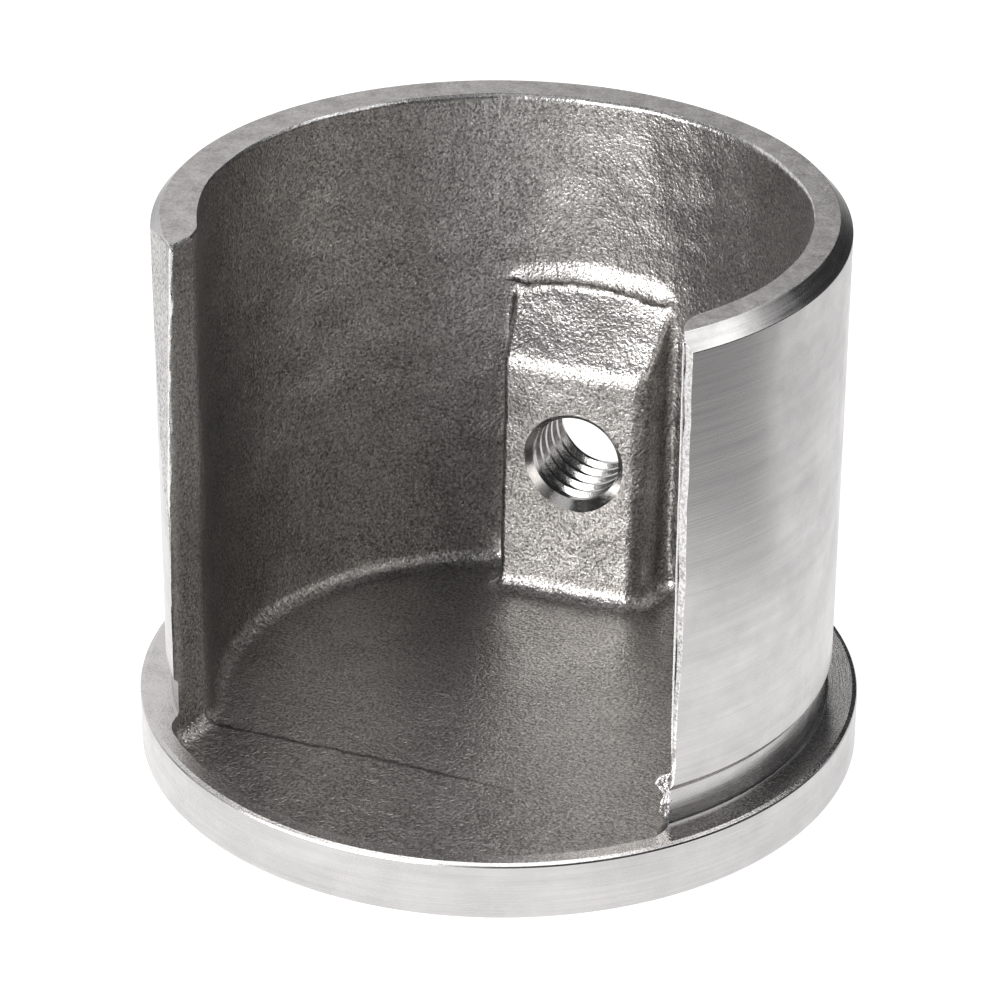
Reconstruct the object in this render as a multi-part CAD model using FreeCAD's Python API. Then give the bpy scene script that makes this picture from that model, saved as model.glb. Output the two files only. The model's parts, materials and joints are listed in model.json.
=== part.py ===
import FreeCAD, Part
import math
import os

from FreeCAD import Vector

# A cast stainless end piece for a slotted round tube, turned on the outside.
# Frame: origin at the middle of the flange's underside, +Z up along the tube,
# the open slot faces -Y and the tapped boss stands on the wall at +Y.
# All lengths are in millimetres.

# Flange: a flat round plate the size of the tube's outside.
flange_d = 50.8
flange_t = 4.2
flange_top_break = 0.35
flange_bottom_break = 0.3
lip_inner_r = 24.1          # where the cast floor ends at the turned lip in the slot

# Collar: the C-shaped wall that slides into the tube.
collar_d = 47.0
height = 40.0
chamfer_mean = 0.75         # the lead-in chamfer is cut a little off centre,
chamfer_shift = 0.3         # so it is wider than this by that much
chamfer_bearing_deg = -48.0  # at this bearing, and narrower behind
bore_top_r = 20.6
bore_draft_deg = 0.5        # the cast inside narrows towards the floor
bore_lean_deg = 0.8         # and its axis leans this much towards +X
floor_z = 2.1
floor_fillet = 1.2

# Relief groove turned at the collar's foot.
groove_depth = 0.37
groove_h = 3.15
groove_flank_h = 0.55
groove_foot_r = 0.25

# Slot: the open front of the C, flared outwards. The wall's right end is upright,
# its left end leans in, so that the slot is narrower at the top.
slot_right_x = 17.6         # distances of the ends from the boss's plane, at the
slot_left_x = 19.1          # collar's outside and the height of the flange's underside
slot_left_lean = 0.0205     # what the left one loses per millimetre of height
slot_flare_deg = 15.5
wall_end_r = 0.9            # cast radius on the wall's two end corners

# Boss on the inside of the back wall.
boss_face_y = 16.0
boss_left_x = -5.6          # the face's two upright edges
boss_right_x = 5.3
boss_left_draft_deg = 4.0
boss_right_draft_deg = 14.0
boss_ridge_z = 20.0
boss_top_z = 26.2
boss_top_y = 21.2
boss_corner_r = 0.5

# Tapped hole through boss and wall for an M8 set screw, modelled at its minor
# diameter.
thread_d = 8.0
thread_pitch = 1.25
hole_z = 13.2
countersink_d = 7.7
outer_break_d = 7.2

# Set screw with a hexagon socket and a cup point, lying loose in the cup.
screw_len = 6.0
screw_socket_af = 4.0
screw_socket_depth = 3.0
screw_end_chamfer = 0.75
screw_cup_d = 5.0
screw_cup_tip_d = 1.0
screw_cup_depth = 1.0
screw_from_centre = 16.3    # where it lies: distance and direction from the tube's axis
screw_bearing_deg = 16.6
screw_clearance = 0.05      # air under the loose screw

flange_r = flange_d / 2
collar_r = collar_d / 2
thread_minor_d = thread_d - 1.0825 * thread_pitch
hole_r = thread_minor_d / 2
bore_floor_r = bore_top_r - (height - floor_z) * math.tan(math.radians(bore_draft_deg))


def face_of(points):
    """A flat face inside the closed run of straight lines through the points."""
    return Part.Face(Part.makePolygon(points + [points[0]]))


def revolved(profile):
    """A full turn about Z of a closed outline given as (radius, height) pairs."""
    face = face_of([Vector(r, 0, z) for r, z in profile])
    return face.revolve(Vector(0, 0, 0), Vector(0, 0, 1), 360)


def edges_where(shape, test):
    """The edges whose middle point passes the test."""
    picked = []
    for edge in shape.Edges:
        middle = edge.valueAt((edge.FirstParameter + edge.LastParameter) / 2)
        if test(middle, edge):
            picked.append(edge)
    return picked


def is_upright(edge):
    """True for an edge that runs mostly up and down."""
    along = edge.Vertexes[-1].Point - edge.Vertexes[0].Point
    return abs(along.z) > 0.9 * along.Length


def turned_blank():
    """The outside as the lathe leaves it: flange, relief groove, collar and chamfer."""
    groove_r = collar_r - groove_depth
    foot_z = flange_t + groove_foot_r
    flank_top_z = flange_t + groove_h
    profile = [
        (0, 0),
        (flange_r - flange_bottom_break, 0),
        (flange_r, flange_bottom_break),
        (flange_r, flange_t - flange_top_break),
        (flange_r - flange_top_break, flange_t),
        (groove_r + groove_foot_r, flange_t),
        (groove_r, foot_z),
        (groove_r, flank_top_z - groove_flank_h),
        (collar_r, flank_top_z),
        (collar_r, height),
        (0, height),
    ]
    blank = revolved(profile)
    chamfer = revolved([
        (collar_r + 3, height - chamfer_mean - 3),
        (collar_r + 3, height + 3),
        (collar_r - chamfer_mean - 3, height + 3),
    ])
    bearing = math.radians(chamfer_bearing_deg)
    off_centre = Vector(math.cos(bearing), math.sin(bearing), 0) * -chamfer_shift
    chamfer.translate(off_centre)
    return blank.cut(chamfer)


def cup_cavity():
    """The tapered and slightly leaning round inside of the cup, with its flat floor."""
    spare = 2.0
    growth = spare * math.tan(math.radians(bore_draft_deg))
    cup = revolved([
        (0, floor_z - spare),
        (bore_floor_r - growth, floor_z - spare),
        (bore_top_r + growth, height + spare),
        (0, height + spare),
    ])
    cup.rotate(Vector(0, 0, height / 2), Vector(0, 1, 0), bore_lean_deg)
    above_floor = Part.makeCylinder(flange_r, height, Vector(0, 0, floor_z))
    return cup.common(above_floor)


def slot_cut():
    """The open front: a flared wedge that stops at the lip of the flange."""
    slope = math.tan(math.radians(slot_flare_deg))
    front_y = -flange_r - 5
    back_y = -4.0

    def end_x(outer_x, y):
        outer_y = -math.sqrt(collar_r**2 - outer_x**2)
        return outer_x - (y - outer_y) * slope

    def outline(z):
        lean = slot_left_lean * z
        corners = [
            Vector(lean - end_x(slot_left_x, front_y), front_y, z),
            Vector(end_x(slot_right_x, front_y), front_y, z),
            Vector(end_x(slot_right_x, back_y), back_y, z),
            Vector(lean - end_x(slot_left_x, back_y), back_y, z),
        ]
        return Part.makePolygon(corners + corners[:1])
    wedge = Part.makeLoft([outline(floor_z), outline(height + 2)], True, True)
    within = Part.makeCylinder(lip_inner_r, height, Vector(0, 0, floor_z))
    return wedge.common(within)


def hollow():
    """All the room inside: cup and slot together, with their cast radii."""
    space = cup_cavity().fuse(slot_cut()).removeSplitter()

    def at_wall_end(p, edge):
        on_bore = abs(math.hypot(p.x, p.y) - bore_top_r) < 1.0
        return is_upright(edge) and p.y < -4 and on_bore
    space = space.makeFillet(wall_end_r, edges_where(space, at_wall_end))
    floor_edges = edges_where(space, lambda p, edge: abs(p.z - floor_z) < 0.001)
    return space.makeFillet(floor_fillet, floor_edges)


def boss():
    """The wedge-topped block on the back wall, reaching into the wall behind it."""
    depth = boss_top_y - boss_face_y
    left_back_x = boss_left_x - depth * math.tan(math.radians(boss_left_draft_deg))
    right_back_x = boss_right_x + depth * math.tan(math.radians(boss_right_draft_deg))
    side = [
        Vector(0, boss_face_y, floor_z - 0.5),
        Vector(0, boss_face_y, boss_ridge_z),
        Vector(0, boss_top_y, boss_top_z),
        Vector(0, boss_top_y, floor_z - 0.5),
    ]
    half_w = right_back_x + 1
    slab = face_of([p - Vector(half_w, 0, 0) for p in side]).extrude(Vector(2 * half_w, 0, 0))
    plan = [
        Vector(boss_left_x, boss_face_y, 0),
        Vector(boss_right_x, boss_face_y, 0),
        Vector(right_back_x, boss_top_y, 0),
        Vector(left_back_x, boss_top_y, 0),
    ]
    prism = face_of(plan).extrude(Vector(0, 0, height))
    block = slab.common(prism)
    front = edges_where(block, lambda p, e: is_upright(e) and abs(p.y - boss_face_y) < 0.01)
    block = block.makeFillet(boss_corner_r, front)
    inside = Part.makeCylinder(bore_top_r + 0.8, height)
    return block.common(inside)


def tapped_hole():
    """The through hole at the thread's minor diameter, with both mouths broken."""
    back = Vector(0, collar_r + 1, hole_z)
    towards_slot = Vector(0, -1, 0)
    bore = Part.makeCylinder(hole_r, collar_r + 1 - boss_face_y + 1, back, towards_slot)
    sink_depth = countersink_d / 2 - hole_r
    sink_mouth = Vector(0, boss_face_y, hole_z)
    sink = Part.makeCone(countersink_d / 2, hole_r, sink_depth, sink_mouth, Vector(0, 1, 0))
    sink_lead = Part.makeCylinder(countersink_d / 2, 1, sink_mouth, towards_slot)
    break_depth = outer_break_d / 2 - hole_r
    outer_y = math.sqrt(collar_r**2 - hole_r**2)
    outer_break = Part.makeCone(
        hole_r, outer_break_d / 2 + 1, break_depth + 1,
        Vector(0, outer_y - break_depth, hole_z), Vector(0, 1, 0))
    return bore.fuse([sink, sink_lead, outer_break])


def base_casting():
    """The whole one-piece casting."""
    body = turned_blank().cut(hollow())
    body = body.fuse(boss()).removeSplitter()
    return body.cut(tapped_hole())


def hexagon(across_flats, z):
    """A hexagonal outline centred on Z at the given height."""
    radius = across_flats / math.sqrt(3)
    corners = []
    for i in range(6):
        angle = math.radians(60 * i)
        corners.append(Vector(radius * math.cos(angle), radius * math.sin(angle), z))
    return face_of(corners)


def set_screw():
    """The loose set screw, built upright and then laid on the cup's floor."""
    r = thread_d / 2
    body = revolved([
        (0, 0),
        (r - screw_end_chamfer, 0),
        (r, screw_end_chamfer),
        (r, screw_len - screw_end_chamfer),
        (r - screw_end_chamfer, screw_len),
        (0, screw_len),
    ])
    socket_floor = hexagon(screw_socket_af, screw_len - screw_socket_depth)
    socket = socket_floor.extrude(Vector(0, 0, screw_socket_depth + 1))
    cup = Part.makeCone(screw_cup_d / 2, screw_cup_tip_d / 2, screw_cup_depth)
    screw = body.cut(socket).cut(cup)
    screw.translate(Vector(0, 0, -screw_len / 2))
    screw.rotate(Vector(0, 0, 0), Vector(0, 1, 0), -90)
    screw.translate(Vector(screw_from_centre, 0, floor_z + r + screw_clearance))
    screw.rotate(Vector(0, 0, 0), Vector(0, 0, 1), screw_bearing_deg)
    return screw


def save(shape, node):
    """Writes one sub-part after testing that it is a single sound solid."""
    if not shape.isValid() or len(shape.Solids) != 1:
        raise RuntimeError(f"{node} is not one valid solid")
    shape.Solids[0].exportStep(f"parts/{node}.step")
    box = shape.optimalBoundingBox(False, False)
    print(f"{node}: volume {shape.Volume:.1f} mm3, "
          f"box {box.XLength:.2f} x {box.YLength:.2f} x {box.ZLength:.2f} mm")


def main():
    os.makedirs("parts", exist_ok=True)
    casting = base_casting()
    screw = set_screw()
    save(casting, "base_casting")
    save(screw, "set_screw")
    print(f"overlap of screw and casting: {casting.common(screw).Volume:.4f} mm3")
    print(f"gap between screw and casting: {casting.distToShape(screw)[0]:.3f} mm")


main()
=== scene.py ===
import json
import math

import bpy
import numpy as np
from mathutils import Matrix, Vector


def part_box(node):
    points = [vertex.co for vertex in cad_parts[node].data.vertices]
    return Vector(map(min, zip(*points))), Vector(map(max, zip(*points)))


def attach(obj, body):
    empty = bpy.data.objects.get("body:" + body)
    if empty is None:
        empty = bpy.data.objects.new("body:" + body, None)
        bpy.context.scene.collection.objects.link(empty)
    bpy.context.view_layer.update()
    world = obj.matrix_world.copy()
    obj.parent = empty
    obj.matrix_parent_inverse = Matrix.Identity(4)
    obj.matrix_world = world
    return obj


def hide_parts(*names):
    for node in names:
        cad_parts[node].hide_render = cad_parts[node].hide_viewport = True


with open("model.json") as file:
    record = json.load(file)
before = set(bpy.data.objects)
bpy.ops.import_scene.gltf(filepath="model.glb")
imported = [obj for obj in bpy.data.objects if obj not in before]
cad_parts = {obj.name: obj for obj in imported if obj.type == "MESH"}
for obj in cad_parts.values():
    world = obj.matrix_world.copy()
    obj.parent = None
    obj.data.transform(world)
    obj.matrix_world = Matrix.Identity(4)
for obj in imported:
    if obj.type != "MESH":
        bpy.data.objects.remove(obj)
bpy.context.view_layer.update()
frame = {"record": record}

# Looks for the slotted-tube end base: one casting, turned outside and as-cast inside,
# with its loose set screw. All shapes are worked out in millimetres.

MM = 0.001
TAU = 2 * math.pi

# ---------------------------------------------------------------- sizes, mm
# Read from the frame where it states them.
mounts = {m["name"]: m for m in frame["record"]["mounts"]}
low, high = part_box("base_casting")
flange_r = (high.x - low.x) / 2 / MM
height = high.z / MM
collar_r = mounts["collar_spigot"]["dims"]["r_mm"]
flange_t = mounts["collar_spigot"]["pos_m"][2] / MM
hole_r = mounts["tapped_hole"]["dims"]["r_mm"]
hole_z = mounts["tapped_hole"]["pos_m"][2] / MM

# Turned outside.
flange_top_break = 0.35
flange_bottom_break = 0.3
chamfer_mean = 0.75
chamfer_shift = 0.3         # cut off centre: wider by this at the bearing, narrower behind
chamfer_bearing = math.radians(-48)
groove_depth = 0.37
groove_h = 3.15
groove_flank_h = 0.55
groove_foot_r = 0.25

# As-cast inside.
bore_top_r = 20.6
bore_draft = math.tan(math.radians(0.5))
bore_lean = math.tan(math.radians(0.8))
floor_z = 2.1
floor_fillet = 1.2
lip_inner_r = 24.1
slot_right_x = 17.6         # the wall's ends at the collar's outside
slot_left_x = 19.1
slot_left_lean = 0.0205     # the left end leans in towards the top
slot_flare = math.radians(15.5)
slot_back_y = -4.0          # the slot's cut stops here, well inside the cup
wall_end_r = 0.9
parting_y = -11.25          # line where the mould halves met, across the floor
parting_slope = 0.065
parting_bend = 0.0014
parting_step = 0.03
swell_height = 0.036
pitting_height = 0.008

# Flats dressed along the outer corners of the wall's two ends.
right_bevel = math.radians(-110)
right_bevel_foot = 0.30     # how much the right one takes off the corner, low down
right_bevel_top = 0.62      # and high up
left_bevel = math.radians(221)
left_bevel_reach = 23.47    # the left one's distance from the axis where it starts
left_bevel_from = 17.5      # height above which the left one shows
left_bevel_slope = 0.038

# Boss.
boss_face_y = 16.0
boss_left_x = -5.6
boss_right_x = 5.3
boss_face_draft = math.tan(math.radians(2.0))
boss_left_draft = math.radians(4.0)
boss_right_draft = math.radians(14.0)
boss_ridge_z = 20.0
boss_top_slope = math.atan2(6.2, 5.2)
boss_arch = 0.0035          # makes the sloped top steeper towards its sides
boss_left_edge_r = 0.45
boss_right_edge_r = 1.0
boss_ridge_r = 0.45
boss_fillet_r = 0.7
boss_foot_r = 1.2           # where it meets the floor
boss_crease_r = 0.4         # where the sloped top runs into the wall
boss_crease_from_z = 22.5
boss_crease_z = 24.5
bead_full_r = 0.40          # raised bead along the wall above the boss
bead_sunk_r = -0.45         # below zero, so that it is gone beyond its ends
bead_half_w = 5.0           # full as far as this on both sides, and gone by the next
bead_end_x = 7.8
bead_inset = 0.04           # how deep its middle lies in the wall
bead_rise = 0.62            # and how far above the sloped top
bead_fillet_r = 0.24

# Thread, M8 x 1.25.
pitch = 1.25
thread_major_r = 3.98
countersink_r = 3.85
outer_break_r = 3.6

mesh_pitch = 0.3            # grid for the cast skin
cut_above_flange = 0.3      # how far off the flange its opening and the flats stay
opening_gap = 0.2
opening_corner_r = 0.15
round_steps = 96            # faces round a hole or a thread


# ---------------------------------------------------------------- cast skin as a distance field
def waves(seed, count, shortest, longest):
    """Random plane waves that add up to smooth unevenness."""
    rng = np.random.default_rng(seed)
    way = rng.normal(size=(count, 3))
    way /= np.linalg.norm(way, axis=1)[:, None]
    length = shortest * (longest / shortest) ** rng.random(count)
    return way * (TAU / length)[:, None], rng.random(count) * TAU


SWELL = waves(3, 14, 3.0, 11.0)
PITTING = waves(8, 26, 0.75, 1.6)


def unevenness(p, field, size):
    """Sum of the waves at each point, scaled so that its spread is the given size."""
    way, phase = field
    total = np.zeros(len(p))
    for w, ph in zip(way, phase):
        total += np.sin(p @ w + ph)
    return total * size / math.sqrt(len(phase) / 2)


def round_max(a, b, r):
    """Overlap of two fields, with the corner between them rounded to radius r."""
    outer = np.hypot(np.maximum(a + r, 0), np.maximum(b + r, 0))
    return outer - r + np.minimum(np.maximum(a + r, b + r), 0)


def round_min(a, b, r):
    """Union of two fields, with the corner between them rounded to radius r."""
    return -round_max(-a, -b, r)


def smooth_step(x, low_x, high_x):
    """0 up to low_x, 1 from high_x on, and an even S between them."""
    t = np.clip((x - low_x) / (high_x - low_x), 0, 1)
    return t * t * (3 - 2 * t)


slot_right_y = -math.sqrt(collar_r**2 - slot_right_x**2)
slot_left_y = -math.sqrt(collar_r**2 - slot_left_x**2)


def wedge_field(x, y, z):
    """Below zero between the two flared end faces of the wall."""
    c, s = math.cos(slot_flare), math.sin(slot_flare)
    right = (x - slot_right_x) * c + (y - slot_right_y) * s
    left = (slot_left_lean * z - slot_left_x - x) * c + (y - slot_left_y) * s
    return np.maximum(left, right)


def right_bevel_depth(z):
    widening = smooth_step(z, 8.0, 24.0)
    return right_bevel_foot + (right_bevel_top - right_bevel_foot) * widening


def left_bevel_depth(z):
    return left_bevel_slope * (z - left_bevel_from)


def bevel_fields(x, y, z):
    """Below zero in front of the flats along the right and the left end's corner."""
    c, s = math.cos(right_bevel), math.sin(right_bevel)
    tip = slot_right_x * c + slot_right_y * s
    depth = right_bevel_depth(z) * smooth_step(z, flange_t + 2.0, flange_t + 4.0)
    right = np.maximum(tip - depth - x * c - y * s, 8.0 - x)
    c, s = math.cos(left_bevel), math.sin(left_bevel)
    left = np.maximum(left_bevel_reach - left_bevel_depth(z) - x * c - y * s, x + 8.0)
    return right, left


def boss_field(x, y, z):
    """Below zero in the boss, and the same for everything under its sloped top."""
    face = boss_face_y + (z - hole_z) * boss_face_draft - y
    back = y - boss_face_y
    left = (boss_left_x - x) * math.cos(boss_left_draft) - back * math.sin(boss_left_draft)
    right = (x - boss_right_x) * math.cos(boss_right_draft) - back * math.sin(boss_right_draft)
    rise = back * math.sin(boss_top_slope) * (1 + boss_arch * x * x)
    top = (z - boss_ridge_z) * math.cos(boss_top_slope) - rise
    block = round_max(round_max(face, left, boss_left_edge_r), right, boss_right_edge_r)
    return round_max(block, top, boss_ridge_r), top


def parting_line(x, y):
    """Distance in front of the line where the mould halves met, across the floor."""
    return -(y - parting_y + parting_slope * x + parting_bend * x * x)


def hollow_field(p):
    """Below zero in the air inside cup and slot, above zero in the metal."""
    x, y, z = p[:, 0], p[:, 1], p[:, 2]
    r = np.hypot(x, y)
    floor = floor_z + parting_step * smooth_step(parting_line(x, y), -0.25, 0.25) - z
    bore = np.hypot(x - (z - height / 2) * bore_lean, y) - bore_top_r + (height - z) * bore_draft
    slot = round_max(wedge_field(x, y, z), r - lip_inner_r, floor_fillet)
    plan = round_min(bore, np.maximum(slot, y - slot_back_y), wall_end_r)
    air = round_max(plan, floor, floor_fillet)

    # On the left the tool opens out just beyond the collar, clear of the metal. The flats
    # along both ends stop above the flange.
    above = flange_t + cut_above_flange - z
    outside = np.maximum(collar_r + opening_gap - r, above)
    off_flange = smooth_step(z, flange_t + cut_above_flange, flange_t + 2.0)
    air = round_min(air, np.maximum(outside, x + 6.0), opening_corner_r * off_flange + 1e-3)
    for bevel in bevel_fields(x, y, z):
        air = np.minimum(air, np.maximum(bevel, above))

    # The boss's fillet against wall and floor changes with height.
    boss, boss_top = boss_field(x, y, z)
    off_floor = smooth_step(z, floor_z + 1.5, floor_z + 4.0)
    in_crease = smooth_step(z, boss_crease_from_z, boss_crease_z)
    fillet = boss_foot_r + (boss_fillet_r - boss_foot_r) * off_floor
    fillet += (boss_crease_r - boss_fillet_r) * in_crease
    air = round_max(air, -boss, fillet)
    in_bead = smooth_step(-np.abs(x), -bead_end_x, -bead_half_w)
    bead_r = (bead_full_r - bead_sunk_r) * in_bead + bead_sunk_r
    bead = np.maximum(np.hypot(bore - bead_inset, boss_top - bead_rise) - bead_r, 10 - y)
    air = round_max(air, -bead, bead_fillet_r)

    # Unevenness of the cast skin, calmer near the floor. The tool ends just past the blank.
    swell = 0.35 + 0.65 * smooth_step(z, floor_z + 1.0, floor_z + 4.0)
    air = air + swell * unevenness(p, SWELL, swell_height)
    air = air + unevenness(p, PITTING, pitting_height)
    return np.maximum(air, np.maximum(z - height - 1.0, r - 24.8))


def gradient(field, p, step=0.02):
    """Slope of the field at each point, by central differences."""
    g = np.empty_like(p)
    for axis in range(3):
        d = np.zeros(3)
        d[axis] = step
        g[:, axis] = (field(p + d) - field(p - d)) / (2 * step)
    return g


def surface_net(field, low_p, high_p, h):
    """Closed mesh of the field's zero surface: a vertex per crossed cell, drawn onto it."""
    counts = [int((b - a) / h) + 1 for a, b in zip(low_p, high_p)]
    axes = [a + h * np.arange(n) for a, n in zip(low_p, counts)]
    values = np.empty(counts, dtype=np.float32)
    for i, x in enumerate(axes[0]):
        gy, gz = np.meshgrid(axes[1], axes[2], indexing="ij")
        layer = np.column_stack([np.full(gy.size, x), gy.ravel(), gz.ravel()])
        values[i] = field(layer).reshape(gy.shape)
    shape = np.array(counts) - 1
    total = np.zeros((shape.prod(), 3), dtype=np.float32)
    hits = np.zeros(shape.prod(), dtype=np.int32)
    crossings = []
    for axis in range(3):
        a = np.take(values, range(0, counts[axis] - 1), axis)
        b = np.take(values, range(1, counts[axis]), axis)
        where = np.argwhere((a < 0) != (b < 0))
        va, vb = a[tuple(where.T)], b[tuple(where.T)]
        point = where.astype(np.float32)
        point[:, axis] += va / (va - vb)
        u, v = (axis + 1) % 3, (axis + 2) % 3
        cells = []
        for du, dv in ((1, 1), (0, 1), (0, 0), (1, 0)):
            cell = where.copy()
            cell[:, u] -= du
            cell[:, v] -= dv
            flat = np.ravel_multi_index(cell.T, shape)
            np.add.at(total, flat, point)
            np.add.at(hits, flat, 1)
            cells.append(flat)
        quad = np.column_stack(cells)
        quad[va > 0] = quad[va > 0][:, ::-1]
        crossings.append(quad)
    active = np.flatnonzero(hits)
    index = np.full(len(hits), -1)
    index[active] = np.arange(len(active))
    p = np.array(low_p) + h * (total[active] / hits[active][:, None])
    for _ in range(3):
        g = gradient(field, p)
        move = (field(p) / np.maximum((g * g).sum(1), 0.2))[:, None] * g
        p -= np.clip(move, -0.4 * h, 0.4 * h)
    return p, index[np.vstack(crossings)]


# ---------------------------------------------------------------- mesh helpers
def add_object(name, data):
    piece = bpy.data.objects.new(name, data)
    bpy.context.collection.objects.link(piece)
    return piece


def mesh_object(name, points, faces, material):
    """An object from points in millimetres and faces that index them."""
    mesh = bpy.data.meshes.new(name)
    vertices = [tuple(v) for v in np.asarray(points) * MM]
    mesh.from_pydata(vertices, [], [tuple(map(int, f)) for f in faces])
    mesh.validate()
    mesh.update()
    mesh.materials.append(material)
    return add_object(name, mesh)


def lathe(profile, turns):
    """Closed mesh turned about Z from (radius, height) pairs that start and end on the axis."""
    ring = np.array(profile[1:-1])
    angle = np.arange(turns) * TAU / turns
    points = [(0, 0, profile[0][1]), (0, 0, profile[-1][1])]
    for r, z in ring:
        points += list(zip(r * np.cos(angle), r * np.sin(angle), np.full(turns, z)))
    faces = []
    for i in range(turns):
        j = (i + 1) % turns
        faces.append((0, 2 + j, 2 + i))
        for k in range(len(ring) - 1):
            a, b = 2 + k * turns, 2 + (k + 1) * turns
            faces.append((a + i, a + j, b + j, b + i))
        last = 2 + (len(ring) - 1) * turns
        faces.append((1, last + i, last + j))
    return np.array(points), faces


def threaded_rod(root_r, crest_r, start, end, steps):
    """Closed rod along Z with a 60 degree helical thread, its two ends capped by fans."""
    # One turn's outline: share of the pitch, and radius.
    outline = [(0.0, root_r), (0.16, root_r), (0.47, crest_r), (0.60, crest_r), (0.91, root_r)]
    rows = len(outline)
    turns = int(math.ceil((end - start) / pitch)) + 1
    columns = steps * turns
    points = []
    for k in range(columns + 1):
        angle = TAU * k / steps
        for share, r in outline:
            z = start + pitch * (k / steps + share)
            points.append((r * math.cos(angle), r * math.sin(angle), z))
    faces = []

    def at(k, j):
        return k * rows + j if j < rows else (k + steps) * rows
    for k in range(columns - steps):
        for j in range(rows):
            faces.append((at(k, j), at(k + 1, j), at(k + 1, j + 1), at(k, j + 1)))
    first = [at(k, 0) for k in range(steps + 1)] + [at(0, j) for j in range(rows - 1, 0, -1)]
    top = columns - steps
    last = [at(top + k, 0) for k in range(steps + 1)] + [at(top, j) for j in range(rows - 1, 0, -1)]
    points.append((0, 0, start - pitch))
    points.append((0, 0, start + pitch * (columns / steps) + pitch))
    bottom_tip, top_tip = len(points) - 2, len(points) - 1
    for a, b in zip(first, first[1:] + first[:1]):
        faces.append((b, a, bottom_tip))
    for a, b in zip(last, last[1:] + last[:1]):
        faces.append((a, b, top_tip))
    used = sorted({i for f in faces for i in f})
    renumber = {old: new for new, old in enumerate(used)}
    return np.array(points)[used], [tuple(renumber[i] for i in f) for f in faces]


def boolean(piece, tool, operation="DIFFERENCE"):
    """Works a tool on the piece and throws the tool away. New faces keep its material."""
    modifier = piece.modifiers.new("cut", "BOOLEAN")
    modifier.operation = operation
    modifier.solver = "MANIFOLD"
    modifier.material_mode = "TRANSFER"
    modifier.object = tool
    bpy.context.view_layer.objects.active = piece
    with bpy.context.temp_override(object=piece, active_object=piece):
        bpy.ops.object.modifier_apply(modifier=modifier.name)
    bpy.data.objects.remove(tool)


# ---------------------------------------------------------------- shading normals and attributes
def array_of(items, name, width=1):
    """One value or vector of every item, such as the vertices' places."""
    values = np.empty(len(items) * width, dtype=np.int32 if width == 1 else float)
    items.foreach_get(name, values)
    return values if width == 1 else values.reshape(-1, width)


def turned_normals(place, normal):
    """Normals of a surface turned about Z: the face's own slope, at the corner's own bearing."""
    radial = np.hypot(normal[:, 0], normal[:, 1])
    outward = np.sign(normal[:, 0] * place[:, 0] + normal[:, 1] * place[:, 1])
    r = np.maximum(np.hypot(place[:, 0], place[:, 1]), 1e-6)
    return np.column_stack([
        outward * radial * place[:, 0] / r,
        outward * radial * place[:, 1] / r,
        normal[:, 2]])


def swung_normals(place, normal, centre, axis_x, axis_z):
    """Normals turned about an axis along Y from the face's middle to the corner."""
    a = np.arctan2(place[:, 2] - axis_z, place[:, 0] - axis_x)
    b = np.arctan2(centre[:, 2] - axis_z, centre[:, 0] - axis_x)
    c, s = np.cos(a - b), np.sin(a - b)
    return np.column_stack([
        c * normal[:, 0] - s * normal[:, 2],
        normal[:, 1],
        s * normal[:, 0] + c * normal[:, 2]])


def set_normals(mesh, normals):
    """Smooth shading with one given normal for each face corner."""
    normals /= np.maximum(np.linalg.norm(normals, axis=1), 1e-9)[:, None]
    mesh.shade_smooth()
    mesh.normals_split_custom_set(normals.tolist())


# ---------------------------------------------------------------- materials
floor_glow = 0.92           # strength in the bright pool on the floor, and far away
floor_glow_far = 0.30
pool_centre = (-0.045, 0.080, 0)    # metres, as are the pool's radii
pool_r = 0.133
pool_outer_r = 0.175


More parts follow.
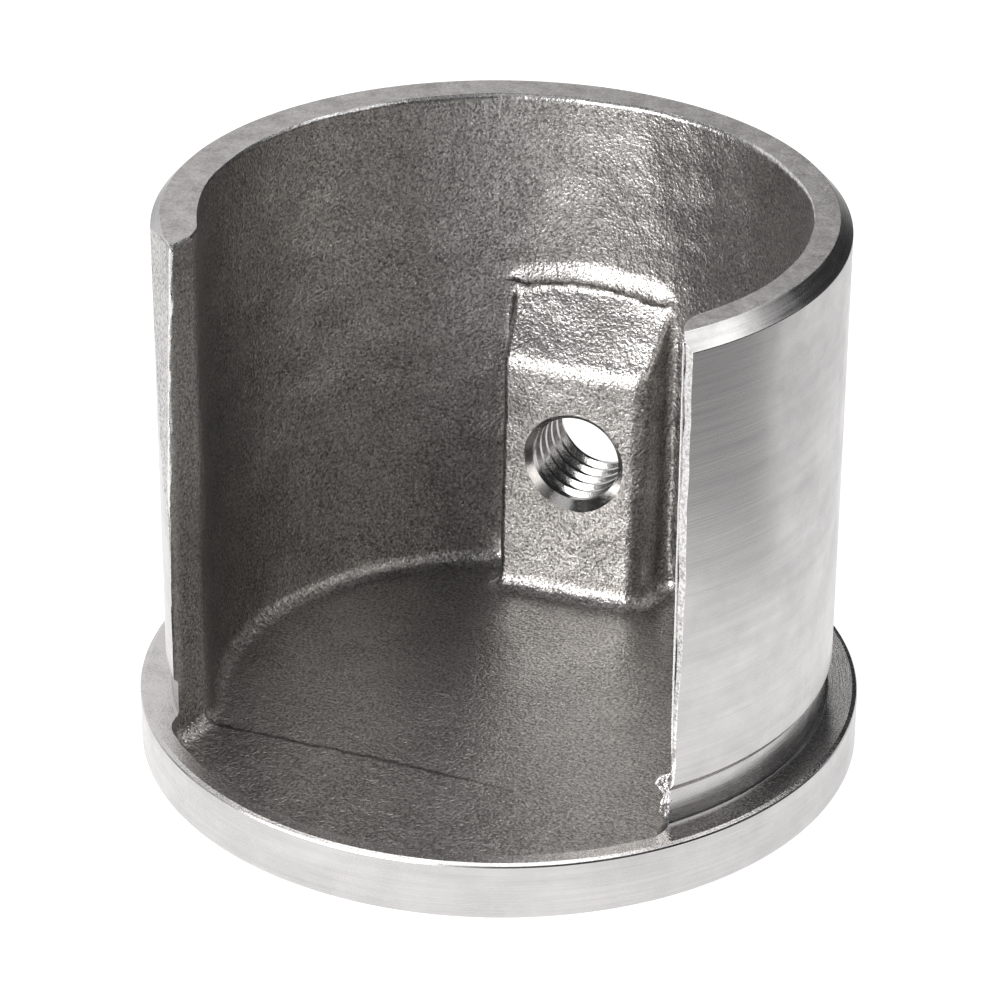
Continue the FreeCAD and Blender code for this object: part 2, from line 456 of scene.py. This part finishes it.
class Nodes:
    """Short cuts for building a material's node tree. An input takes a value or an output."""

    def __init__(self, name):
        self.material = bpy.data.materials.new(name)
        self.material.use_nodes = True
        self.tree = self.material.node_tree
        self.shader = self.tree.nodes["Principled BSDF"]

    def add(self, kind, inputs=(), **settings):
        node = self.tree.nodes.new(kind)
        for key, value in settings.items():
            setattr(node, key, value)
        for socket, value in dict(inputs).items():
            self.feed(node.inputs[socket], value)
        return node

    def feed(self, socket, value):
        if isinstance(value, bpy.types.NodeSocket):
            self.tree.links.new(value, socket)
        else:
            socket.default_value = value

    def maths(self, operation, *values, clamp=False):
        node = self.add("ShaderNodeMath", operation=operation, use_clamp=clamp)
        for socket, value in zip(node.inputs, values):
            self.feed(socket, value)
        return node.outputs[0]

    def noise(self, vector, scale, detail=2.0, roughness=0.5):
        return self.add("ShaderNodeTexNoise", {
            "Vector": vector, "Scale": scale,
            "Detail": detail, "Roughness": roughness}).outputs["Fac"]

    def ramp(self, value, low_in, high_in, low_out, high_out, way="LINEAR"):
        return self.add("ShaderNodeMapRange", {
            "Value": value, "From Min": low_in, "From Max": high_in,
            "To Min": low_out, "To Max": high_out}, interpolation_type=way).outputs["Result"]

    def soft_ramp(self, *values):
        return self.ramp(*values, way="SMOOTHSTEP")

    def blend(self, share, a, b):
        node = self.add("ShaderNodeMix", data_type="RGBA")
        self.feed(node.inputs[0], share)
        self.feed(node.inputs[6], a)
        self.feed(node.inputs[7], b)
        return node.outputs[2]

    def bump(self, height, distance):
        return self.add("ShaderNodeBump", {
            "Height": height, "Distance": distance, "Strength": 1.0}).outputs["Normal"]

    def place(self):
        return self.add("ShaderNodeTexCoord").outputs["Object"]

    def metal(self, colour, rough, normal):
        """Wires up the shader as bare metal and returns the material."""
        self.feed(self.shader.inputs["Base Color"], colour)
        self.feed(self.shader.inputs["Roughness"], rough)
        self.shader.inputs["Metallic"].default_value = 1.0
        self.feed(self.shader.inputs["Normal"], normal)
        return self.material

    def parting_shade(self):
        """Painted shade along the small step where the mould halves met: 1 on a thin line across
        the cup's floor, 0 elsewhere.
        """
        place = self.place()
        xyz = self.add("ShaderNodeSeparateXYZ", {0: place})
        x = self.maths("MULTIPLY", xyz.outputs[0], 1 / MM)
        y = self.maths("MULTIPLY", xyz.outputs[1], 1 / MM)
        bend = self.maths("MULTIPLY_ADD", x, parting_bend, parting_slope)
        off = self.maths("ADD", self.maths("MULTIPLY_ADD", bend, x, y), -parting_y)
        wander = self.ramp(self.noise(place, 1.0 / (1.2 * MM), 3.0), 0.3, 0.7, -0.16, 0.16)
        off = self.maths("ABSOLUTE", self.maths("ADD", off, wander))
        thin = self.soft_ramp(off, 0.05, 0.30, 1.0, 0.0)
        fade = self.ramp(x, 0.0, 7.0, 1.0, 0.12)
        low_z, high_z = (floor_z + 0.35) * MM, (floor_z + 0.6) * MM
        on_floor = self.ramp(xyz.outputs[2], low_z, high_z, 1.0, 0.0)
        return self.maths("MULTIPLY", self.maths("MULTIPLY", thin, fade), on_floor)

    def around(self, turns_scale, lines_scale):
        """Coordinates that stretch a texture along the circumference, for rings and lines."""
        xyz = self.add("ShaderNodeSeparateXYZ", {0: self.place()})
        flat = self.add("ShaderNodeCombineXYZ", {0: xyz.outputs[0], 1: xyz.outputs[1]})
        unit = self.add("ShaderNodeVectorMath", {0: flat.outputs[0]}, operation="NORMALIZE")
        length = self.add("ShaderNodeVectorMath", {0: flat.outputs[0]}, operation="LENGTH")
        u = self.add("ShaderNodeSeparateXYZ", {0: unit.outputs[0]})
        across = self.maths("MULTIPLY_ADD", length.outputs["Value"], 1.7, xyz.outputs[2])
        return self.add("ShaderNodeCombineXYZ", {
            0: self.maths("MULTIPLY", u.outputs[0], turns_scale),
            1: self.maths("MULTIPLY", u.outputs[1], turns_scale),
            2: self.maths("MULTIPLY", across, lines_scale)}).outputs[0]


def turned_material():
    """Turned metal: fine rings round the axis, with faint smudges."""
    n = Nodes("turned_stainless")
    lines = n.noise(n.around(3.0, 1.0 / (0.09 * MM)), 1.0, 3.0, 0.6)
    broad = n.noise(n.around(2.0, 1.0 / (0.8 * MM)), 1.0, 2.0)
    smudge = n.noise(n.place(), 1.0 / (3.5 * MM), 4.0, 0.6)
    tone = n.maths("ADD", n.ramp(lines, 0.3, 0.7, 0, 0.4), n.ramp(broad, 0.3, 0.7, 0, 0.3))
    tone = n.maths("ADD", tone, n.ramp(smudge, 0.35, 0.65, 0, 0.3))
    colour = n.blend(tone, (0.46, 0.45, 0.45, 1), (0.64, 0.625, 0.62, 1))
    rough = n.ramp(lines, 0.3, 0.7, 0.20, 0.30)
    rough = n.maths("ADD", rough, n.ramp(smudge, 0.35, 0.65, 0.05, -0.03))
    n.shader.inputs["Anisotropic"].default_value = 0.6
    tangent = n.add("ShaderNodeTangent", direction_type="RADIAL", axis="Z")
    n.feed(n.shader.inputs["Tangent"], tangent.outputs[0])
    return n.metal(colour, rough, n.bump(lines, 0.004 * MM))


def ground_material():
    """Faced metal: dull and cloudy on the rim, smoother on the flange."""
    n = Nodes("ground_stainless")
    xyz = n.add("ShaderNodeSeparateXYZ", {0: n.place()})
    on_flange = n.ramp(xyz.outputs[2], 10 * MM, 20 * MM, 1.0, 0.0)
    lines = n.noise(n.around(6.0, 1.0 / (0.12 * MM)), 1.0, 3.0, 0.6)
    grain = n.noise(n.place(), 1.0 / (0.22 * MM), 3.0, 0.65)
    broad = n.noise(n.place(), 1.0 / (1.6 * MM), 3.0, 0.6)
    tone = n.maths("ADD", n.ramp(grain, 0.35, 0.65, 0, 0.55), n.ramp(broad, 0.35, 0.65, 0, 0.45))
    tone = n.maths("MULTIPLY_ADD", on_flange, 0.45, tone, clamp=True)
    colour = n.blend(tone, (0.30, 0.285, 0.275, 1), (0.66, 0.64, 0.63, 1))
    rough = n.maths("MULTIPLY_ADD", on_flange, -0.24, n.ramp(grain, 0.3, 0.7, 0.40, 0.56))
    relief = n.maths("MULTIPLY_ADD", lines, 0.6, grain)
    return n.metal(colour, rough, n.bump(relief, 0.02 * MM))


def cast_material():
    """As-cast skin: dark warm grey, with painted glints and painted shade in its grains, and edges
    brightened partly by wear and partly as a painted highlight.
    """
    n = Nodes("cast_stainless")
    place = n.place()
    pebble = n.noise(place, 1.0 / (0.23 * MM), 1.0, 0.5)
    grain = n.noise(place, 1.0 / (0.14 * MM), 1.0, 0.5)
    broad = n.noise(place, 1.0 / (4.0 * MM), 3.0, 0.55)
    wear_and_highlight = n.add("ShaderNodeAttribute", attribute_name="wear_and_highlight").outputs["Fac"]
    # Painted glints and painted shade: bright specks stand for grains catching the light, dark
    # specks for shade in the pits between them.
    glint = n.soft_ramp(grain, 0.62, 0.72, 0.0, 0.8)
    pit_shade = n.soft_ramp(grain, 0.40, 0.28, 0.0, -0.45)
    tone = n.maths("ADD", n.ramp(pebble, 0.3, 0.7, 0.10, 0.60), n.ramp(broad, 0.35, 0.65, 0, 0.12))
    tone = n.maths("ADD", tone, n.maths("ADD", glint, pit_shade), clamp=True)
    colour = n.blend(tone, (0.12, 0.112, 0.105, 1), (0.70, 0.68, 0.66, 1))
    # Painted highlight, partly wear too: the edge mask blends the skin towards bright metal.
    wear_and_highlight_share = n.maths("MULTIPLY", wear_and_highlight, n.ramp(pebble, 0.35, 0.6, 0.4, 1.0), clamp=True)

    # Painted shade: the floor is darkened along the thin line of the mould step.
    line = n.maths("MULTIPLY", n.parting_shade(), 0.7)
    colour = n.blend(line, colour, (0.05, 0.047, 0.043, 1))
    colour = n.blend(wear_and_highlight_share, colour, (0.84, 0.83, 0.82, 1))
    rough = n.maths("MULTIPLY_ADD", wear_and_highlight_share, -0.08, n.ramp(grain, 0.3, 0.7, 0.44, 0.28))
    relief = n.maths("MULTIPLY_ADD", grain, 0.35, pebble)
    calm = n.maths("MULTIPLY_ADD", wear_and_highlight, -0.9, 1.0)
    return n.metal(colour, rough, n.bump(n.maths("MULTIPLY", relief, calm), 0.055 * MM))


def thread_material():
    """Cut metal in the tapped hole."""
    n = Nodes("threaded_stainless")
    grain = n.noise(n.place(), 1.0 / (0.2 * MM), 3.0, 0.6)
    tone = n.ramp(grain, 0.3, 0.7, 0, 1)
    colour = n.blend(tone, (0.46, 0.45, 0.44, 1), (0.64, 0.63, 0.62, 1))
    return n.metal(colour, n.ramp(grain, 0.3, 0.7, 0.14, 0.26), n.bump(grain, 0.005 * MM))


def screw_material():
    """Plain machined metal of the set screw."""
    n = Nodes("screw_stainless")
    grain = n.noise(n.place(), 1.0 / (0.15 * MM), 3.0, 0.6)
    broad = n.noise(n.place(), 1.0 / (1.5 * MM), 2.0)
    tone = n.ramp(broad, 0.35, 0.65, 0, 1)
    colour = n.blend(tone, (0.50, 0.49, 0.48, 1), (0.66, 0.65, 0.64, 1))
    return n.metal(colour, n.ramp(grain, 0.3, 0.7, 0.24, 0.38), n.bump(grain, 0.006 * MM))


def floor_material():
    """Glowing white sheet: brightest round and behind the object, dimmer out to the front right."""
    n = Nodes("white_table")
    place = n.place()
    grain = n.noise(place, 1.0 / (1.5 * MM), 3.0, 0.6)
    tone = n.ramp(grain, 0.3, 0.7, 0, 1)
    n.feed(n.shader.inputs["Base Color"],
           n.blend(tone, (0.28, 0.28, 0.28, 1), (0.32, 0.32, 0.32, 1)))
    n.feed(n.shader.inputs["Roughness"], n.ramp(grain, 0.3, 0.7, 0.75, 0.9))
    n.shader.inputs["Emission Color"].default_value = (1.0, 1.0, 1.0, 1)

    def along(direction):
        """Distance from the axis in a flat direction."""
        node = n.add("ShaderNodeVectorMath", {0: place, 1: direction}, operation="DOT_PRODUCT")
        return node.outputs["Value"]
    away = n.add("ShaderNodeVectorMath", {0: place, 1: pool_centre}, operation="DISTANCE")
    pool = n.soft_ramp(away.outputs["Value"], pool_r, pool_outer_r, floor_glow, floor_glow_far)
    right, behind = along((0.943, 0.334, 0)), along((-0.334, 0.943, 0))
    out_right = n.soft_ramp(right, 0.042, 0.070, 0.0, 1.0)
    in_front = n.soft_ramp(behind, -0.016, 0.006, 1.0, 0.25)
    dim = n.maths("MULTIPLY_ADD", n.maths("MULTIPLY", out_right, in_front), -0.75, 1.0)
    dim = n.maths("MULTIPLY", dim, n.soft_ramp(right, -0.046, -0.060, 1.0, 0.7))
    n.feed(n.shader.inputs["Emission Strength"], n.maths("MULTIPLY", pool, dim))
    return n.material


turned = turned_material()
ground = ground_material()
cast = cast_material()
threaded = thread_material()


# ---------------------------------------------------------------- the casting
TURNED, CAST, THREADED, GROUND = range(4)   # its material slots, in the order they are added


def turned_profile():
    """Outline of the turned outside, with its sharp corners broken by short faces."""
    groove_r = collar_r - groove_depth
    flank_top = flange_t + groove_h
    return [
        (0, 0),
        (flange_r * 0.5, 0),
        (flange_r - flange_bottom_break, 0),
        (flange_r - 0.09, flange_bottom_break * 0.35),
        (flange_r, flange_bottom_break),
        (flange_r, flange_t - 0.2),
        (flange_r - 0.06, flange_t - 0.09),
        (flange_r - flange_top_break, flange_t),
        (groove_r + groove_foot_r, flange_t),
        (groove_r + 0.15, flange_t + 0.02),
        (groove_r + 0.07, flange_t + 0.07),
        (groove_r + 0.02, flange_t + 0.15),
        (groove_r, flange_t + groove_foot_r),
        (groove_r, flank_top - groove_flank_h),
        (collar_r - 0.02, flank_top - 0.03),
        (collar_r, flank_top + 0.02),
        (collar_r, height - chamfer_mean - 0.02),
        (collar_r - 0.015, height - chamfer_mean + 0.015),
        (collar_r - chamfer_mean + 0.015, height - 0.015),
        (collar_r - chamfer_mean - 0.02, height),
        (collar_r * 0.5, height),
        (0, height),
    ]


def set_chamfer_off_centre(points):
    """Widens or narrows the even chamfer ring bearing by bearing."""
    bearing = np.arctan2(points[:, 1], points[:, 0])
    share = 1 + chamfer_shift / chamfer_mean * np.cos(bearing - chamfer_bearing)
    r = np.hypot(points[:, 0], points[:, 1])
    ring = (points[:, 2] > height - chamfer_mean - 0.1) & (r > collar_r - chamfer_mean - 0.1)
    new_r = collar_r - (collar_r - r) * share
    points[ring, :2] *= (new_r / np.maximum(r, 1e-6))[ring, None]
    points[ring, 2] = (height - (height - points[:, 2]) * share)[ring]


def along_y(points, y0):
    """Turns points made along Z so that they run along -Y, at the tapped hole's height."""
    p = np.asarray(points)
    return np.column_stack([p[:, 0], y0 - p[:, 2], hole_z + p[:, 1]])


def build_casting():
    """The turned blank, hollowed by the cast skin, drilled, tapped and countersunk."""
    points, faces = lathe(turned_profile(), 384)
    set_chamfer_off_centre(points)
    piece = mesh_object("casting", points, faces, turned)
    low_p, high_p = (-25.4, -25.4, 1.0), (25.4, 25.4, height + 2.0)
    points, faces = surface_net(hollow_field, low_p, high_p, mesh_pitch)
    boolean(piece, mesh_object("hollow", points, faces, cast))
    points, faces = lathe([(0, 0), (hole_r, 0), (hole_r, 12.5), (0, 12.5)], round_steps)
    boolean(piece, mesh_object("bore", along_y(points, collar_r + 3), faces, threaded))
    points, faces = threaded_rod(hole_r - 0.01, thread_major_r, 0, 8.6, round_steps)
    boolean(piece, mesh_object("thread", along_y(points, collar_r + 3), faces, threaded))
    sink_depth = countersink_r - hole_r
    points, faces = lathe([
        (0, -sink_depth - 0.5), (hole_r - 0.5, -sink_depth - 0.5),
        (countersink_r + 0.6, 0.6), (0, 0.6)], round_steps)
    boolean(piece, mesh_object("sink", along_y(points, boss_face_y), faces, threaded))
    break_depth = outer_break_r - hole_r
    points, faces = lathe([
        (0, -1.5), (outer_break_r + 1.0, -1.5),
        (hole_r - 0.5, break_depth), (0, break_depth)], round_steps)
    boolean(piece, mesh_object("outer_break", along_y(points, collar_r - 0.25), faces, threaded))
    return piece


def finish_casting(piece):
    """Gives the faced surfaces their material, and sets normals and the bright edges, which are
    partly wear and partly a painted highlight.
    """
    mesh = piece.data
    mesh.materials.append(ground)
    vertex = array_of(mesh.loops, "vertex_index")
    co = array_of(mesh.vertices, "co", 3) / MM
    normal = array_of(mesh.polygons, "normal", 3)
    centre = array_of(mesh.polygons, "center", 3) / MM
    kind = array_of(mesh.polygons, "material_index")
    face = np.repeat(np.arange(len(kind)), array_of(mesh.polygons, "loop_total"))  # per corner

    # The rim and the flange's top are faced; the rest of the outside is turned.
    ring_r = np.hypot(centre[:, 0], centre[:, 1])
    on_ring = (np.abs(centre[:, 2] - flange_t) < 0.05) & (ring_r > collar_r - 0.1)
    faced = (kind == TURNED) & ((centre[:, 2] > height - 0.01) | on_ring)

    # Normals: round on the turned surfaces, from the field's slope on the cast skin.
    place = co[vertex]
    normals = normal[face]
    is_turned = kind[face] == TURNED
    is_cast = kind[face] == CAST
    is_thread = kind[face] == THREADED
    normals[is_turned] = turned_normals(place[is_turned], normals[is_turned])
    normals[is_thread] = swung_normals(
        place[is_thread], normals[is_thread], centre[face][is_thread], 0, hole_z)
    cast_vertices = np.unique(vertex[is_cast])
    slope = np.zeros_like(co)
    slope[cast_vertices] = -gradient(hollow_field, co[cast_vertices])
    lip = smooth_step(co[:, 2], height - 0.5, height)
    slope /= np.maximum(np.linalg.norm(slope, axis=1), 1e-9)[:, None]
    slope[:, 2] += lip
    normals[is_cast] = slope[vertex[is_cast]]
    set_normals(mesh, normals)
    kind[faced] = GROUND
    mesh.polygons.foreach_set("material_index", kind)

    # Brightened edges, partly wear and partly painted highlight: the wall's ends near the outside,
    # the rim, and every edge where cast skin meets turned metal.
    r = np.hypot(co[:, 0], co[:, 1])
    above_groove = co[:, 2] > flange_t + 2.0
    wear_and_highlight = 0.6 * smooth_step(r, collar_r - 1.1, collar_r - 0.5) * (co[:, 1] < -8)
    right_end = 0.7 * smooth_step(-co[:, 1], 10.6, 12.2) * (co[:, 0] > 10)
    wear_and_highlight = np.maximum(wear_and_highlight, right_end) * above_groove
    # The rim's inner lip gets a painted highlight.
    wear_and_highlight = np.maximum(wear_and_highlight, lip)
    wear_and_highlight[np.intersect1d(cast_vertices, np.unique(vertex[is_turned]))] = 1.0
    attribute = mesh.attributes.new("wear_and_highlight", "FLOAT", "POINT")
    attribute.data.foreach_set("value", wear_and_highlight.astype(np.float32))


casting = build_casting()
finish_casting(casting)
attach(casting, "base")
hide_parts("base_casting")

# ---------------------------------------------------------------- the loose set screw
screw_r = 3.98              # M8 x 6: thread crests and roots
screw_root_r = 3.36
screw_len = 6.0
socket_af = 4.0
socket_depth = 3.0
end_chamfer = 0.75
cup_r = 2.5
cup_depth = 1.0
screw_steps = 72


def hexagon_tool():
    """A hexagon bar with a drilled point, for the key socket."""
    radius = socket_af / math.sqrt(3)
    corners = [(radius * math.cos(TAU * i / 6), radius * math.sin(TAU * i / 6)) for i in range(6)]
    bottom = screw_len - socket_depth
    points = [(x, y, screw_len + 1) for x, y in corners]
    points += [(x, y, bottom) for x, y in corners]
    points += [(0, 0, screw_len + 1), (0, 0, bottom - 0.9)]
    faces = []
    for i in range(6):
        j = (i + 1) % 6
        faces += [(i, 6 + i, 6 + j, j), (12, i, j), (13, 6 + j, 6 + i)]
    return points, faces


def build_screw(material):
    """Built upright with its cup point down at z = 0 and the key socket on top."""
    points, faces = threaded_rod(
        screw_root_r, screw_r, -2 * pitch, screw_len + 2 * pitch, screw_steps)
    piece = mesh_object("loose_screw", points, faces, material)
    c = end_chamfer
    points, faces = lathe([
        (0, 0), (screw_r - c - 0.05, 0), (screw_r - c, 0.04), (screw_r + 0.01, c),
        (screw_r + 0.01, screw_len - c), (screw_r - c, screw_len - 0.04),
        (screw_r - c - 0.05, screw_len), (0, screw_len)], screw_steps)
    boolean(piece, mesh_object("blank", points, faces, material), "INTERSECT")
    points, faces = hexagon_tool()
    boolean(piece, mesh_object("socket", points, faces, material))
    points, faces = lathe([
        (0, -0.5), (cup_r + 0.5, -0.5),
        (0.5, cup_depth), (0, cup_depth + 0.15)], screw_steps)
    boolean(piece, mesh_object("cup", points, faces, material))
    return piece


def lay_screw(piece):
    """Lays it on the cup's floor where the frame has it, socket towards the tube's axis."""
    low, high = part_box("set_screw")
    middle = (low + high) / 2
    bearing = math.atan2(middle.y, middle.x)
    piece.data.transform(
        Matrix.Translation(middle)
        @ Matrix.Rotation(bearing, 4, "Z")
        @ Matrix.Rotation(-math.pi / 2, 4, "Y")
        @ Matrix.Translation((0, 0, -screw_len / 2 * MM)))


screw = build_screw(screw_material())
lay_screw(screw)
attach(screw, "loose_set_screw")
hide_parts("set_screw")


# ---------------------------------------------------------------- burr and edge ridges
# How far out the burr hangs from the wall's foot, and how high above the flange.
burr_curl = [(0.0, 3.75), (0.45, 3.7), (0.9, 3.5), (0.95, 3.1), (0.75, 2.8), (0.45, 2.3),
             (0.7, 1.4), (0.55, 0.6), (0.3, -0.1)]
burr_strands = ((1.0, 0.11), (0.6, 0.10), (0.3, 0.12))      # share of the reach, and radius
burr_steps = 56
ridge_step = 0.2


def burr_material():
    """Bright torn metal."""
    n = Nodes("torn_stainless")
    grain = n.noise(n.place(), 1.0 / (0.1 * MM), 2.0, 0.5)
    tone = n.ramp(grain, 0.35, 0.65, 0, 1)
    colour = n.blend(tone, (0.72, 0.71, 0.70, 1), (0.92, 0.91, 0.90, 1))
    return n.metal(colour, n.ramp(grain, 0.3, 0.7, 0.18, 0.34), n.bump(grain, 0.02 * MM))


def smoothed_wobble(rng, steps, width):
    """Random offsets along a path, averaged over a few neighbours."""
    raw = rng.normal(size=(steps + width - 1, 3))
    return np.column_stack([np.convolve(w, np.ones(width) / width, "valid") for w in raw.T])


def tube(path, radius, sides=8):
    """Closed tube along a run of points, with a radius at each."""
    along = np.gradient(path, axis=0)
    along /= np.linalg.norm(along, axis=1)[:, None]
    side = np.cross(along, [0.3, 0.5, 0.81])
    side /= np.linalg.norm(side, axis=1)[:, None]
    up = np.cross(along, side)
    points, faces = [], []
    for k, centre in enumerate(path):
        for j in range(sides):
            a = TAU * j / sides
            points.append(centre + radius[k] * (math.cos(a) * side[k] + math.sin(a) * up[k]))
    for k in range(len(path) - 1):
        for j in range(sides):
            a, b = k * sides + j, k * sides + (j + 1) % sides
            faces.append((a, b, b + sides, a + sides))
    faces.append(tuple(reversed(range(sides))))
    faces.append(tuple(len(points) - sides + j for j in range(sides)))
    return points, faces


def burr():
    """Strands of torn metal that hang off the wall's right end beside the groove."""
    rng = np.random.default_rng(12)
    groove_r = collar_r - groove_depth
    foot = np.array([slot_right_x - 0.1, -math.sqrt(groove_r**2 - slot_right_x**2), flange_t])
    out = np.array([-0.943, -0.334, 0.0])
    knots = np.array(burr_curl)
    t = np.linspace(0, 1, burr_steps)
    share = np.linspace(0, 1, len(knots))
    tubes = []
    for strand, (reach, thick) in enumerate(burr_strands):
        push = np.interp(t, share, knots[:, 0]) * reach
        rise = np.interp(t, share, knots[:, 1]) + 0.06 * strand
        wobble = smoothed_wobble(rng, burr_steps, 5)
        path = foot + out * push[:, None] + np.array([0, 0, 1]) * rise[:, None]
        path += wobble * np.array([0.10, 0.10, 0.08])
        taper = np.sqrt(np.clip(np.minimum(t, 1 - t) * 16, 0.1, 1))
        radius = thick * (0.75 + 0.45 * np.abs(wobble[:, 0]) / 0.45) * taper
        tubes.append(tube(path, radius))
    return tubes


def crossing(z, bevel, offset, x_end, y_end, flare):
    """Where an end face and its bevel meet at height z."""
    face = np.array([[math.cos(bevel), math.sin(bevel)], [math.cos(flare), math.sin(flare)]])
    place = np.linalg.solve(face, [offset, x_end * math.cos(flare) + y_end * math.sin(flare)])
    return np.array([place[0], place[1], z])


def ridges():
    """Fine turned-over edges where the wall's end faces meet the flats beside them."""
    rng = np.random.default_rng(21)
    tip = slot_right_x * math.cos(right_bevel) + slot_right_y * math.sin(right_bevel)
    right = np.array([
        crossing(z, right_bevel, tip - right_bevel_depth(z),
                 slot_right_x, slot_right_y, slot_flare)
        for z in np.arange(9.5, height - 0.35, ridge_step)])
    left = np.array([
        crossing(z, left_bevel, left_bevel_reach - left_bevel_depth(z),
                 slot_left_lean * z - slot_left_x, slot_left_y, -slot_flare)
        for z in np.arange(left_bevel_from + 2.5, height - 0.15, ridge_step)])
    tubes = []
    # Path, radius and roughness, in mm.
    for path, thick, rough in ((right, 0.10, 0.012), (left, 0.13, 0.035)):
        steps = len(path)
        wobble = smoothed_wobble(rng, steps, 7)
        path = path + wobble * rough * 2.6
        ends = np.sqrt(np.clip(np.minimum(np.arange(steps) + 1, 12) / 12, 0.1, 1))
        radius = thick * (1 + wobble[:, 0] * rough * 18) * ends
        tubes.append(tube(path, np.maximum(radius, 0.03)))
    return tubes


points, faces = [], []
for tube_points, tube_faces in burr() + ridges():
    faces += [tuple(i + len(points) for i in f) for f in tube_faces]
    points += tube_points
edge_burr = mesh_object("edge_burr", points, faces, burr_material())
edge_burr.data.shade_smooth()
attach(edge_burr, "base")


# ---------------------------------------------------------------- floor, lights and camera
floor_half = 600            # mm
floor_gap = 0.05            # mm below the object's underside
camera_bearing = math.radians(19.5)     # from -Y towards +X
camera_distance = 245.7     # mm, level with the floor
camera_height = 146.6
camera_aim_z = 17.93        # height on the axis that it points at
camera_roll = math.radians(0.4)
lens = 143.75

# Name, bearing and elevation in degrees, distance, width and height in metres, watts.
soft_boxes = [
    ("key", -118, 19, 0.45, 0.30, 0.30, 3.3),
    ("right", 9, 48, 0.45, 0.28, 0.14, 0.25),
    ("back", 140, 22, 0.60, 0.80, 0.50, 1.1),
    ("top", 112, 72, 0.45, 0.55, 0.20, 0.9),
    ("front", -78, 62, 0.45, 0.30, 0.14, 0.10),
]


def floor():
    corners = [(-1, -1, 0), (1, -1, 0), (1, 1, 0), (-1, 1, 0)]
    piece = mesh_object("floor", np.array(corners) * floor_half, [(0, 1, 2, 3)], floor_material())
    piece.location.z = -floor_gap * MM


def soft_box(name, bearing, elevation, distance, wide, tall, watts):
    """Area light that faces a point just above the floor's middle."""
    light = bpy.data.lights.new(name, "AREA")
    light.shape = "RECTANGLE"
    light.size, light.size_y = wide, tall
    light.energy = watts
    a, e = math.radians(bearing), math.radians(elevation)
    way = Vector((math.cos(a) * math.cos(e), math.sin(a) * math.cos(e), math.sin(e)))
    lamp = add_object(name, light)
    lamp.location = way * distance + Vector((0, 0, 0.02))
    lamp.rotation_euler = way.to_track_quat("Z", "Y").to_euler()


def camera():
    """Looks down into the cup from the front right."""
    place = Vector((
        camera_distance * math.sin(camera_bearing),
        -camera_distance * math.cos(camera_bearing),
        camera_height)) * MM
    target = Vector((0, 0, camera_aim_z)) * MM
    data = bpy.data.cameras.new("camera")
    data.lens = lens
    data.clip_start, data.clip_end = 0.01, 10
    piece = add_object("camera", data)
    piece.location = place
    look = (target - place).to_track_quat("-Z", "Y")
    piece.rotation_euler = (look.to_matrix() @ Matrix.Rotation(camera_roll, 3, "Z")).to_euler()
    bpy.context.scene.camera = piece


def room():
    """Very dim, slightly cool light from all round."""
    world = bpy.data.worlds.new("room")
    world.use_nodes = True
    background = world.node_tree.nodes["Background"]
    background.inputs["Color"].default_value = (0.9, 0.95, 1.0, 1)
    background.inputs["Strength"].default_value = 0.03
    bpy.context.scene.world = world


floor()
for box in soft_boxes:
    soft_box(*box)
room()
camera()
bpy.context.scene.view_settings.view_transform = "Standard"
